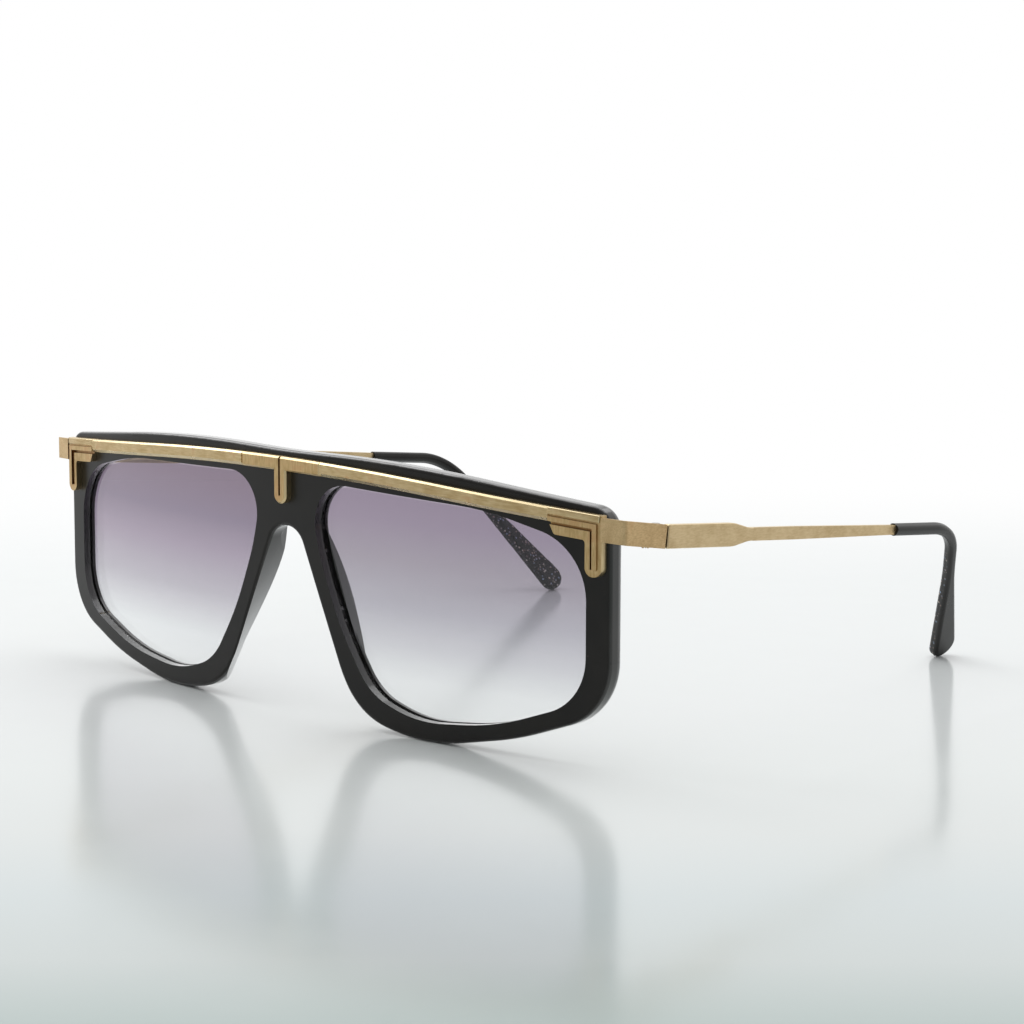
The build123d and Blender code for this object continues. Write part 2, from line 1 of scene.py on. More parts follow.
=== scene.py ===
"""Flat top sunglasses, dressed for Blender 4.5 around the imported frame.

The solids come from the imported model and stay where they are. This script gives each of them the
finish of the real part, adds the small work that is too fine for the solids, and sets a pale glossy
table, soft studio light and the camera. Lengths are in metres unless a name ends in _mm.
"""

import json
import logging
import math
from dataclasses import dataclass, field
from enum import Enum

import bmesh
import bpy
from mathutils import Euler, Matrix, Vector

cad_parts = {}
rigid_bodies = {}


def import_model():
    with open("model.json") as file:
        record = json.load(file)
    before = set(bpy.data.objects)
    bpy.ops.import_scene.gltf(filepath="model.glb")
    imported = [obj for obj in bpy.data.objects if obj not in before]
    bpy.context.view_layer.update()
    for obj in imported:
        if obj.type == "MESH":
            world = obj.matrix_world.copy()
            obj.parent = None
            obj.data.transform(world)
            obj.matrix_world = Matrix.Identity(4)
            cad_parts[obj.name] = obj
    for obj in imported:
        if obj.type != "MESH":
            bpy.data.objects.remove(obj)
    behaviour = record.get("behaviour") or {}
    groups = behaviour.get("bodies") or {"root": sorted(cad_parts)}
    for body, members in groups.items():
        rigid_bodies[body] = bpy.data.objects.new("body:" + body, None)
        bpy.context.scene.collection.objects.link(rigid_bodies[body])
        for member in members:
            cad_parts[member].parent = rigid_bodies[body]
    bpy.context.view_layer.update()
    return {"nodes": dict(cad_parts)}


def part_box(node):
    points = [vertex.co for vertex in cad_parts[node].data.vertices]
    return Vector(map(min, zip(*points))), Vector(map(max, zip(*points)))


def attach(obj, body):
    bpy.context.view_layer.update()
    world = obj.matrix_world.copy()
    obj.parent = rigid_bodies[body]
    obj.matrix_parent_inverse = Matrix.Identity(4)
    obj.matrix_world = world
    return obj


MM = 0.001
CAMERA_HEADING = 44.14  # degrees that the camera is turned about the upright axis
IN_FRONT = -0.09  # a y that lies before the whole front
ABOVE = 0.06  # a z over the whole front
UNDER_SIDES = 0.02  # a z below the side plates and above the temple ends
log = logging.getLogger("sunglasses")


class Body(Enum):
    """The bodies that move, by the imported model's names."""

    FRONT = "front"
    RIGHT = "temple_right"
    LEFT = "temple_left"


class Slot(Enum):
    """The record's material slots."""

    FRONT = "front"
    LENS = "lens"
    METAL = "metal"
    HINGE = "hinge"
    SCREWS = "screws"
    TIPS = "tips"


class Hand(Enum):
    """The two sides of the glasses, with the sign of X on each."""

    RIGHT = 1
    LEFT = -1

    def of(self, name: str) -> str:
        """Name of this side's node of a pair."""
        return f"{name}_{self.name.lower()}"


def linear(colour: str) -> tuple[float, float, float, float]:
    """Turn an sRGB hex colour into the linear values that a shader takes.

    Args:
        colour: The colour as "#rrggbb".

    Returns:
        Red, green, blue and an alpha of one.
    """
    parts = [int(colour[i : i + 2], 16) / 255 for i in (1, 3, 5)]
    red, green, blue = [c / 12.92 if c <= 0.04045 else ((c + 0.055) / 1.055) ** 2.4 for c in parts]
    return (red, green, blue, 1.0)


def per_metre(size_mm: float) -> float:
    """Texture scale whose features are size_mm millimetres wide."""
    return 1.0 / (size_mm * MM)


def add_node(
    tree: bpy.types.NodeTree,
    kind: str,
    links: dict | None = None,
    output: str | int = 0,
    stops: tuple[tuple[float, str], ...] = (),
    **settings,
) -> bpy.types.NodeSocket | None:
    """Add one node with its settings, values and links.

    Args:
        tree: The node tree that gets the node.
        kind: The node's type, without the "ShaderNode" that all of them start with.
        links: What feeds each input, by name or number: an output socket, or a plain value.
        output: The output that is wanted, by name or number.
        stops: For a colour ramp, its places with their sRGB hex colours.
        **settings: The node's own properties.

    Returns:
        The wanted output, or nothing where the node has none.
    """
    node = tree.nodes.new("ShaderNode" + kind)
    for name, value in settings.items():
        setattr(node, name, value)
    if stops:
        elements = node.color_ramp.elements
        while len(elements) < len(stops):
            elements.new(0.5)
        for element, (place, colour) in zip(elements, stops):
            element.position = place
            element.color = linear(colour)
    for name, value in (links or {}).items():
        socket = node.inputs[name]
        if isinstance(value, bpy.types.NodeSocket):
            tree.links.new(value, socket)
        else:
            socket.default_value = value
    return node.outputs[output] if node.outputs else None


class Surface:
    """A new material with its main shader and the places where its patterns are read."""

    def __init__(self, name: str) -> None:
        """Start the material.

        Args:
            name: The material's name.
        """
        self.material = bpy.data.materials.new(name)
        self.material.use_nodes = True
        self.tree = self.material.node_tree
        self.tree.nodes.clear()
        self.shader = add_node(self.tree, "BsdfPrincipled").node
        self.place = add_node(self.tree, "TexCoord", output="Object")
        self.normal = self.place.node.outputs["Normal"]
        self.show(self.shader.outputs["BSDF"])

    def show(self, shade: bpy.types.NodeSocket) -> None:
        """Make the given shade the surface that shows.

        Args:
            shade: The shader output to show.
        """
        for node in [n for n in self.tree.nodes if n.type == "OUTPUT_MATERIAL"]:
            self.tree.nodes.remove(node)
        add_node(self.tree, "OutputMaterial", {"Surface": shade})

    def feed(self, **inputs) -> None:
        """Feed the main shader's inputs, named with _ for each space.

        Args:
            **inputs: A socket to link, or a number or colour to set.
        """
        for name, value in inputs.items():
            socket = self.shader.inputs[name.replace("_", " ")]
            if isinstance(value, bpy.types.NodeSocket):
                self.tree.links.new(value, socket)
            else:
                socket.default_value = value


@dataclass(frozen=True)
class MouldedNylon:
    """Nylon, injection moulded, coloured right through and tumbled.

    The eye gets a warm black with hardly any gloss on the broad front and back, and a smooth soft
    gloss where the tumbling polished the rounded edges and the walls of the openings.
    """

    name: str = "nylon_moulded_tumbled_black"
    dark: str = "#0f0d0b"
    light: str = "#1b1916"
    satin: float = 0.34
    polished: float = 0.15
    gloss: float = 0.3  # specular level: a dull skin gives less than half of the usual gloss
    coat: float = 1.0  # the tight skin that tumbling leaves on edges and walls
    broad_span: tuple[float, float] = (0.55, 0.9)  # from an edge to a face that looks along Y
    flow_mm: float = 9.0  # slow cloudiness left by the tumbling
    grain_mm: float = 0.35  # orange peel of the moulded skin
    grain_depth_mm: float = 0.012
    lint: tuple[str, ...] = ("#8f8a80", "#6b5340", "#9aa3ad")  # pale dust, brown and bluish fibres
    lint_mm: float = 2.6  # spacing of the lint
    lint_share: float = 0.035  # radius of one speck as a share of that spacing
    lint_chosen: float = 0.75  # share of the places that stay clean
    inside_only: bool = False  # lint only low down on the side that faces the middle of the glasses
    lint_top_mm: float = 24.0  # height at which that lint ends
    lint_fade_mm: float = 4.0

    def make(self) -> bpy.types.Material:
        """Build the material."""
        surface = Surface(self.name)
        tree, place = surface.tree, surface.place
        clouds = add_node(tree, "TexNoise", {"Vector": place, "Scale": per_metre(self.flow_mm), "Detail": 3.0})
        grain = add_node(tree, "TexNoise", {"Vector": place, "Scale": per_metre(self.grain_mm), "Detail": 2.0})
        body = add_node(tree, "ValToRGB", {"Fac": clouds}, stops=((0.35, self.dark), (0.7, self.light)))
        # Broad faces look along Y, and edges and walls don't.
        along = add_node(tree, "SeparateXYZ", {"Vector": surface.normal}, output="Y")
        facing = add_node(tree, "Math", {0: along}, operation="ABSOLUTE")
        broad = add_node(
            tree,
            "MapRange",
            {
                "Value": facing,
                "From Min": self.broad_span[0],
                "From Max": self.broad_span[1],
                "To Min": self.polished,
                "To Max": self.satin,
            },
            interpolation_type="SMOOTHSTEP",
        )
        uneven = add_node(
            tree, "MapRange", {"Value": clouds, "From Min": 0.3, "From Max": 0.7, "To Min": 0.85, "To Max": 1.15}
        )
        roughness = add_node(tree, "Math", {0: broad, 1: uneven}, operation="MULTIPLY")
        polish = add_node(
            tree,
            "MapRange",
            {
                "Value": facing,
                "From Min": self.broad_span[1],
                "From Max": self.broad_span[0],
                "To Max": self.coat,
            },
            interpolation_type="SMOOTHSTEP",
        )
        lint = self.add_lint(surface)
        tint = add_node(
            tree,
            "ValToRGB",
            {"Fac": add_node(tree, "TexNoise", {"Vector": place, "Scale": per_metre(self.lint_mm * 1.7)})},
            stops=((0.42, self.lint[0]), (0.5, self.lint[1]), (0.58, self.lint[2])),
        )
        colour = add_node(tree, "Mix", {0: lint, 6: body, 7: tint}, output=2, data_type="RGBA")
        bump = add_node(
            tree, "Bump", {"Height": grain, "Strength": 0.25, "Distance": self.grain_depth_mm * MM}
        )
        surface.feed(
            Base_Color=colour,
            Roughness=roughness,
            Normal=bump,
            IOR=1.5,
            Specular_IOR_Level=self.gloss,
            Coat_Weight=polish,
            Coat_Roughness=0.1,
        )
        return surface.material

    def add_lint(self, surface: Surface) -> bpy.types.NodeSocket:
        """Mask of the specks of lint.

        Args:
            surface: The material that gets the specks.

        Returns:
            One on a speck and zero elsewhere.
        """
        tree = surface.tree
        cells = add_node(
            tree, "TexVoronoi", {"Vector": surface.place, "Scale": per_metre(self.lint_mm)}, output="Distance"
        )
        near = add_node(
            tree,
            "MapRange",
            {"Value": cells, "From Min": self.lint_share, "From Max": self.lint_share * 0.4},
        )
        chosen = add_node(
            tree,
            "MapRange",
            {
                "Value": cells.node.outputs["Color"],
                "From Min": self.lint_chosen,
                "From Max": self.lint_chosen + 0.06,
            },
        )
        mask = add_node(tree, "Math", {0: near, 1: chosen}, operation="MULTIPLY")
        if self.inside_only:
            across = add_node(tree, "SeparateXYZ", {"Vector": surface.place}, output="X")
            top = self.lint_top_mm * MM
            low = add_node(
                tree,
                "MapRange",
                {
                    "Value": across.node.outputs["Z"],
                    "From Min": top,
                    "From Max": top - self.lint_fade_mm * MM,
                },
            )
            mask = add_node(tree, "Math", {0: mask, 1: low}, operation="MULTIPLY")
            outward = add_node(tree, "SeparateXYZ", {"Vector": surface.normal}, output="X")
            product = add_node(tree, "Math", {0: across, 1: outward}, operation="MULTIPLY")
            inner = add_node(
                tree, "MapRange", {"Value": product, "From Min": 0.0, "From Max": -20.0 * MM}
            )
            mask = add_node(tree, "Math", {0: mask, 1: inner}, operation="MULTIPLY")
        return mask


@dataclass(frozen=True)
class AntiquedBrass:
    """Brass, rolled, plated light gold, brushed and antiqued.

    The eye gets a pale matt gold with fine brush marks, slow clouds of a redder gold, rounded edges
    painted paler, partly as wear and partly as painted highlight, and brown patina that stays
    wherever a rag doesn't reach: in grooves and along inner corners.
    """

    name: str
    pale: str = "#d1bb91"
    deep: str = "#baa072"
    ruddy: str = "#b98f62"
    patina: str = "#553a22"
    # Paler colour of the rounded edges: partly real wear, partly painted highlight.
    wear_and_highlight: str = "#ecdcb4"
    ruddy_span: tuple[float, float] = (0.56, 0.72)
    across: str = "Y"  # the way that the broad face looks; rounded edges look another way
    wear_and_highlight_share: float = 0.8  # how far the edges are painted paler, partly as wear and partly as painted highlight
    edge_span: tuple[float, float] = (0.9, 0.72)  # from the broad face to a paler edge
    brush: tuple[float, float, float] = (1.0, 1.0, 0.1)  # the brush ran along the small number
    brush_mm: float = 0.2
    cloud_mm: float = 3.2
    pit_mm: float = 0.4
    reach_mm: float = 1.1  # how far from an inner corner the patina begins
    patina_span: tuple[float, float] = (0.88, 0.42)
    joints_kept: bool = False  # patina also stays along the joints with the next piece
    roughness: tuple[float, float] = (0.36, 0.5)
    depth_mm: float = 0.01

    def make(self) -> bpy.types.Material:
        """Build the material."""
        surface = Surface(self.name)
        tree, place = surface.tree, surface.place
        along = add_node(tree, "Mapping", {"Vector": place, "Scale": self.brush})
        marks = add_node(
            tree, "TexNoise", {"Vector": along, "Scale": per_metre(self.brush_mm), "Detail": 3.0, "Roughness": 0.6}
        )
        clouds = add_node(
            tree, "TexNoise", {"Vector": place, "Scale": per_metre(self.cloud_mm), "Detail": 4.0, "Roughness": 0.55}
        )
        pits = add_node(tree, "TexNoise", {"Vector": place, "Scale": per_metre(self.pit_mm), "Detail": 2.0})
        mixed = add_node(tree, "Mix", {0: 0.5, 2: marks, 3: clouds})
        metal = add_node(tree, "ValToRGB", {"Fac": mixed}, stops=((0.36, self.deep), (0.6, self.pale)))
        warm = add_node(
            tree,
            "MapRange",
            {
                "Value": clouds,
                "From Min": self.ruddy_span[0],
                "From Max": self.ruddy_span[1],
                "To Max": 0.6,
            },
            interpolation_type="SMOOTHSTEP",
        )
        warmed = add_node(
            tree, "Mix", {0: warm, 6: metal, 7: linear(self.ruddy)}, output=2, data_type="RGBA"
        )
        look = add_node(tree, "SeparateXYZ", {"Vector": surface.normal}, output=self.across)
        facing = add_node(tree, "Math", {0: look}, operation="ABSOLUTE")
        edge = add_node(
            tree,
            "MapRange",
            {
                "Value": facing,
                "From Min": self.edge_span[0],
                "From Max": self.edge_span[1],
                "To Max": self.wear_and_highlight_share,
            },
            interpolation_type="SMOOTHSTEP",
        )
        # Paler rounded edges: partly wear, partly painted highlight.
        wear_and_highlight = add_node(
            tree, "Mix", {0: edge, 6: warmed, 7: linear(self.wear_and_highlight)}, output=2, data_type="RGBA"
        )
        hollow = add_node(
            tree,
            "AmbientOcclusion",
            {"Distance": self.reach_mm * MM},
            output="AO",
            samples=8,
            only_local=not self.joints_kept,
        )
        kept = add_node(
            tree,
            "MapRange",
            {
                "Value": hollow,
                "From Min": self.patina_span[0],
                "From Max": self.patina_span[1],
                "To Max": 0.85,
            },
            interpolation_type="SMOOTHSTEP",
        )
        colour = add_node(
            tree, "Mix", {0: kept, 6: wear_and_highlight, 7: linear(self.patina)}, output=2, data_type="RGBA"
        )
        rough = add_node(
            tree,
            "MapRange",
            {
                "Value": mixed,
                "From Min": 0.35,
                "From Max": 0.65,
                "To Min": self.roughness[1],
                "To Max": self.roughness[0],
            },
        )
        rough = add_node(tree, "Mix", {0: edge, 2: rough, 3: 0.2})
        height = add_node(tree, "Mix", {0: 0.4, 2: marks, 3: pits})
        bump = add_node(tree, "Bump", {"Height": height, "Strength": 0.4, "Distance": self.depth_mm * MM})
        surface.feed(Base_Color=colour, Metallic=1.0, Roughness=rough, Normal=bump)
        return surface.material


@dataclass(frozen=True)
class TurnedSteel:
    """Steel, turned and dulled: a plain grey metal with fine turning marks."""

    name: str = "steel_turned_dull"
    light: str = "#a9a6a0"
    dark: str = "#77736c"
    mark_mm: float = 0.12
    depth_mm: float = 0.008

    def make(self) -> bpy.types.Material:
        """Build the material."""
        surface = Surface(self.name)
        tree = surface.tree
        marks = add_node(
            tree, "TexNoise", {"Vector": surface.place, "Scale": per_metre(self.mark_mm), "Detail": 2.0}
        )
        colour = add_node(tree, "ValToRGB", {"Fac": marks}, stops=((0.35, self.dark), (0.65, self.light)))
        rough = add_node(
            tree, "MapRange", {"Value": marks, "From Min": 0.3, "From Max": 0.7, "To Min": 0.3, "To Max": 0.45}
        )
        bump = add_node(tree, "Bump", {"Height": marks, "Strength": 0.3, "Distance": self.depth_mm * MM})
        surface.feed(Base_Color=colour, Metallic=1.0, Roughness=rough, Normal=bump)
        return surface.material


@dataclass(frozen=True)
class DippedLens:
    """Resin, cast, polished and dipped in dye so that the tint fades downwards.

    The eye gets a mauve grey at the top, nearly clear glass at the bottom, a painted highlight as a
    pale line where the lens meets the rim, and a few specks of dust.
    """

    name: str = "resin_cast_dipped_gradient"
    stops: tuple[tuple[float, str], ...] = (
        (0.0, "#fbfcfc"),
        (0.16, "#f3f4f5"),
        (0.3, "#d8d7dc"),
        (0.46, "#bcb9c2"),
        (0.66, "#a79faa"),
        (0.82, "#998d9e"),
        (1.0, "#8f8294"),
    )
    low_mm: float = 3.0
    high_mm: float = 43.0
    dust: str = "#77737b"
    dust_mm: float = 1.6
    rim: str = "#ffffff"  # painted highlight: the white of the pale line where the lens meets the rim
    rim_highlight_reach_mm: float = 0.9

    def make(self) -> bpy.types.Material:
        """Build the material."""
        surface = Surface(self.name)
        tree, place = surface.tree, surface.place
        height = add_node(tree, "SeparateXYZ", {"Vector": place}, output="Z")
        share = add_node(
            tree, "MapRange", {"Value": height, "From Min": self.low_mm * MM, "From Max": self.high_mm * MM}
        )
        tint = add_node(tree, "ValToRGB", {"Fac": share}, stops=self.stops)
        cells = add_node(
            tree, "TexVoronoi", {"Vector": place, "Scale": per_metre(self.dust_mm)}, output="Distance"
        )
        near = add_node(tree, "MapRange", {"Value": cells, "From Min": 0.06, "From Max": 0.025, "To Max": 0.5})
        chosen = add_node(
            tree, "MapRange", {"Value": cells.node.outputs["Color"], "From Min": 0.84, "From Max": 0.88}
        )
        dust = add_node(tree, "Math", {0: near, 1: chosen}, operation="MULTIPLY")
        dusty = add_node(tree, "Mix", {0: dust, 6: tint, 7: linear(self.dust)}, output=2, data_type="RGBA")
        # Painted highlight: the lens turns white within reach of the frame's wall, found by ambient occlusion.
        beside = add_node(
            tree, "AmbientOcclusion", {"Distance": self.rim_highlight_reach_mm * MM}, output="AO", samples=16
        )
        rim = add_node(
            tree,
            "MapRange",
            {"Value": beside, "From Min": 0.86, "From Max": 0.6, "To Max": 0.9},
            interpolation_type="SMOOTHSTEP",
        )
        colour = add_node(tree, "Mix", {0: rim, 6: dusty, 7: linear(self.rim)}, output=2, data_type="RGBA")
        surface.feed(Base_Color=colour, Roughness=0.0, Transmission_Weight=1.0, IOR=1.5)
        return surface.material


@dataclass(frozen=True)
class LacqueredBoard:
    """Board, lacquered pale grey green and polished, that runs on into a white backdrop, with painted shade that
    darkens it towards the camera.
    """

    name: str = "board_lacquered_pale"
    # Painted shade: these stops darken the board towards the camera and lighten it towards the glasses.
    stops: tuple[tuple[float, str], ...] = (
        (0.03, "#afbebb"),
        (0.14, "#c9d1d0"),
        (0.26, "#cfd8d9"),
        (0.4, "#dbe0df"),
        (0.56, "#e1e6e5"),
        (0.76, "#e4e8e8"),
    )
    heading: float = CAMERA_HEADING
    span: tuple[float, float] = (-0.22, 0.02)  # the depths that the painted shade runs between
    fade: tuple[float, float] = (0.08, 0.24)  # depths of the change to white behind the glasses
    surround: tuple[float, float] = (0.35, 0.7)  # radii of the change to white all round

    def make(self) -> bpy.types.Material:
        """Build the material."""
        surface = Surface(self.name)
        tree, place = surface.tree, surface.place
        turned = add_node(
            tree, "Mapping", {"Vector": place, "Rotation": (0.0, 0.0, -math.radians(self.heading))}
        )
        depth = add_node(tree, "SeparateXYZ", {"Vector": turned}, output="Y")
        share = add_node(tree, "MapRange", {"Value": depth, "From Min": self.span[0], "From Max": self.span[1]})
        grain = add_node(tree, "TexNoise", {"Vector": place, "Scale": per_metre(12.0), "Detail": 2.0})
        rough = add_node(
            tree, "MapRange", {"Value": grain, "From Min": 0.3, "From Max": 0.7, "To Min": 0.14, "To Max": 0.17}
        )
        # Painted shade along the camera's heading.
        colour = add_node(tree, "ValToRGB", {"Fac": share}, stops=self.stops)
        surface.feed(Base_Color=colour, Roughness=rough, IOR=1.6)
        white = add_node(tree, "Emission", {"Color": (1, 1, 1, 1), "Strength": 1.0})
        radius = add_node(tree, "VectorMath", {0: place}, output="Value", operation="LENGTH")
        behind = add_node(
            tree,
            "MapRange",
            {"Value": depth, "From Min": self.fade[0], "From Max": self.fade[1]},
            interpolation_type="SMOOTHSTEP",
        )
        around = add_node(
            tree,
            "MapRange",
            {"Value": radius, "From Min": self.surround[0], "From Max": self.surround[1]},
            interpolation_type="SMOOTHSTEP",
        )
        fade = add_node(tree, "Math", {0: behind, 1: around}, operation="MAXIMUM")
        surface.show(add_node(tree, "MixShader", {0: fade, 1: surface.shader.outputs["BSDF"], 2: white}))
        return surface.material


def dress(piece: bpy.types.Object, material: bpy.types.Material) -> None:
    """Give an object its one material.

    Args:
        piece: The object to dress.
        material: Its finish.
    """
    piece.data.materials.clear()
    piece.data.materials.append(material)
    log.info("dressed %s with %s", piece.name, material.name)


def finish_piece(shape: bmesh.types.BMesh, name: str, body: Body, material: bpy.types.Material) -> None:
    """Turn a bmesh into a piece of the scene that rides on a body.

    Args:
        shape: The bmesh, in the frame's own place; it is freed.
        name: The piece's name.
        body: The body that carries it.
        material: Its finish.
    """
    bmesh.ops.remove_doubles(shape, verts=shape.verts, dist=1e-7)
    bmesh.ops.recalc_face_normals(shape, faces=shape.faces)
    mesh = bpy.data.meshes.new(name)
    shape.to_mesh(mesh)
    shape.free()
    mesh.shade_smooth()
    piece = bpy.data.objects.new(name, mesh)
    bpy.context.scene.collection.objects.link(piece)
    dress(piece, material)
    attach(piece, body.value)


def probe(node: bpy.types.Object, start: tuple[float, float, float], way: tuple[float, float, float]) -> Vector:
    """Find where a straight line first meets a node.

    Args:
        node: The node to meet.
        start: Where the line starts, outside the node.
        way: The way it runs.

    Returns:
        The place where they meet.
    """
    hit, place, _, _ = node.ray_cast(Vector(start), Vector(way))
    if not hit:
        raise ValueError(f"nothing of {node.name} from {start} along {way}")
    return place


@dataclass
class Front:
    """The moulded front with its two lenses."""

    nodes: dict[str, bpy.types.Object]
    plastic: MouldedNylon = field(default_factory=MouldedNylon)
    lenses: dict[Hand, DippedLens] = field(
        default_factory=lambda: {
            Hand.RIGHT: DippedLens(),
            # The left lens, the far one, gets a darker copy of the same tint: painted shade.
            Hand.LEFT: DippedLens(
                "resin_cast_dipped_painted_shade",
                stops=(
                    (0.0, "#fbfcfc"),
                    (0.16, "#f0f1f3"),
                    (0.375, "#c2bdc6"),
                    (0.57, "#a89cac"),
                    (0.72, "#8c8092"),
                    (0.89, "#857686"),
                    (1.0, "#827384"),
                ),
            ),
        }
    )

    def build(self) -> None:
        """Dress the front and the lenses."""
        dress(self.nodes["front_frame"], self.plastic.make())
        for hand, lens in self.lenses.items():
            dress(self.nodes[hand.of("lens")], lens.make())


@dataclass
class Brow:
    """The metal brow: tee, bars, corner brackets, end pieces and the screws that hold them."""

    nodes: dict[str, bpy.types.Object]
    bar: AntiquedBrass = field(
        default_factory=lambda: AntiquedBrass("brass_plated_brushed_bar", brush=(0.1, 0.1, 1.0), wear_and_highlight_share=0.65)
    )
    corner: AntiquedBrass = field(
        default_factory=lambda: AntiquedBrass(
            "brass_plated_antiqued_corner",
            pale="#d0b688",
            deep="#b09362",
            ruddy_span=(0.5, 0.66),
            patina="#8a6238",
            wear_and_highlight_share=0.4,
        )
    )
    side: AntiquedBrass = field(
        default_factory=lambda: AntiquedBrass(
            "brass_plated_satin_side",
            pale="#d4b78a",
            deep="#b6986c",
            brush=(1.0, 0.3, 1.0),
            depth_mm=0.014,
            across="X",
            wear_and_highlight_share=0.1,
            joints_kept=True,
        )
    )
    bead_radius_mm: float = 0.22
    bead_places: tuple[tuple[float, float], ...] = ((0.52, 1.0), (0.58, 0.7), (0.63, 0.8))  # along, size
    bead_inset_mm: float = 0.5  # how far in from the side plate's outer face the beads sit
    trim_height_mm: float = 1.2
    trim_depth_mm: float = 0.5
    trim_rounding_share: float = 0.42  # of its depth
    trim_inset_mm: float = 0.3  # how far inside the bracket's ends its face is probed
    probe_below_mm: float = 1.5  # how far below the top the bracket's face is found
    probe_behind_mm: float = 0.4  # how far behind that face its top is found
    trim_lap_mm: float = 0.5  # how far the trim laps over the bar

    def build(self) -> None:
        """Dress the metal of the front, set the solder beads and lay the trim of the corners."""
        bar, corner, side = self.bar.make(), self.corner.make(), self.side.make()
        steel = TurnedSteel().make()
        dress(self.nodes["brow_tee"], corner)
        dress(self.nodes["brow_screw_center"], steel)
        for hand in Hand:
            dress(self.nodes[hand.of("brow_bar")], bar)
            dress(self.nodes[hand.of("corner_bracket")], corner)
            dress(self.nodes[hand.of("endpiece")], side)
            dress(self.nodes[hand.of("brow_screw")], steel)
            self.add_beads(hand, side)
            self.add_trim(hand, bar)

    def lay_bar(
        self, name: str, ends: tuple[Vector, Vector], depth: float, height: float, rounding: float
    ) -> bmesh.types.BMesh:
        """Lay a small bar on the brow's face.

        Args:
            name: What the bar is, for the report.
            ends: The two ends of its middle line.
            depth: How deep it is, half of it in the face below.
            height: How high it is.
            rounding: How far its edges are rounded.

        Returns:
            The bar.
        """
        run = ends[1] - ends[0]
        turn = run.to_track_quat("X", "Z").to_matrix().to_4x4()
        size = Matrix.Diagonal((run.length, depth, height, 1.0))
        shape = bmesh.new()
        place = Matrix.Translation((ends[0] + ends[1]) / 2) @ turn @ size
        bmesh.ops.create_cube(shape, size=1.0, matrix=place)
        bmesh.ops.bevel(
            shape, geom=shape.edges[:], offset=rounding, affect="EDGES", segments=3, profile=0.5, material=-1
        )
        log.info("laid %s, %.1f mm long", name, run.length / MM)
        return shape

    def add_trim(self, hand: Hand, material: bpy.types.Material) -> None:
        """Carry the bar's bright upper edge on over the corner bracket.

        Args:
            hand: The side of the glasses.
            material: Its finish.
        """
        node = self.nodes[hand.of("corner_bracket")]
        low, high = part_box(node.name)
        near, far = (low[0], high[0]) if hand is Hand.RIGHT else (high[0], low[0])
        ends = []
        inset = hand.value * self.trim_inset_mm * MM
        for x in (near + inset, far - inset):
            face = probe(node, (x, IN_FRONT, high[2] - self.probe_below_mm * MM), (0, 1, 0)).y
            top = probe(node, (x, face + self.probe_behind_mm * MM, ABOVE), (0, 0, -1)).z
            middle = top - self.trim_height_mm * MM / 2
            ends.append(Vector((x, probe(node, (x, IN_FRONT, middle), (0, 1, 0)).y, middle)))
        ends[0] += (ends[0] - ends[1]).normalized() * self.trim_lap_mm * MM
        if ends[0].x > ends[1].x:
            ends.reverse()
        name = hand.of("corner_trim")
        height, depth = self.trim_height_mm * MM, self.trim_depth_mm * MM
        shape = self.lay_bar(name, (ends[0], ends[1]), depth, height, depth * self.trim_rounding_share)
        finish_piece(shape, name, Body.FRONT, material)

    def add_beads(self, hand: Hand, material: bpy.types.Material) -> None:
        """Leave a few beads of solder along the lower edge of a side plate.

        Args:
            hand: The side of the glasses.
            material: Their finish.
        """
        node = self.nodes[hand.of("endpiece")]
        low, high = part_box(node.name)
        shape = bmesh.new()
        outer = high[0] if hand is Hand.RIGHT else low[0]
        for along, size in self.bead_places:
            radius = self.bead_radius_mm * MM * size
            x = outer - hand.value * self.bead_inset_mm * MM
            y = low[1] + (high[1] - low[1]) * along
            spot = Matrix.Translation(probe(node, (x, y, UNDER_SIDES), (0, 0, 1)))
            bmesh.ops.create_icosphere(shape, subdivisions=2, radius=radius, matrix=spot)
        finish_piece(shape, hand.of("solder_beads"), Body.FRONT, material)


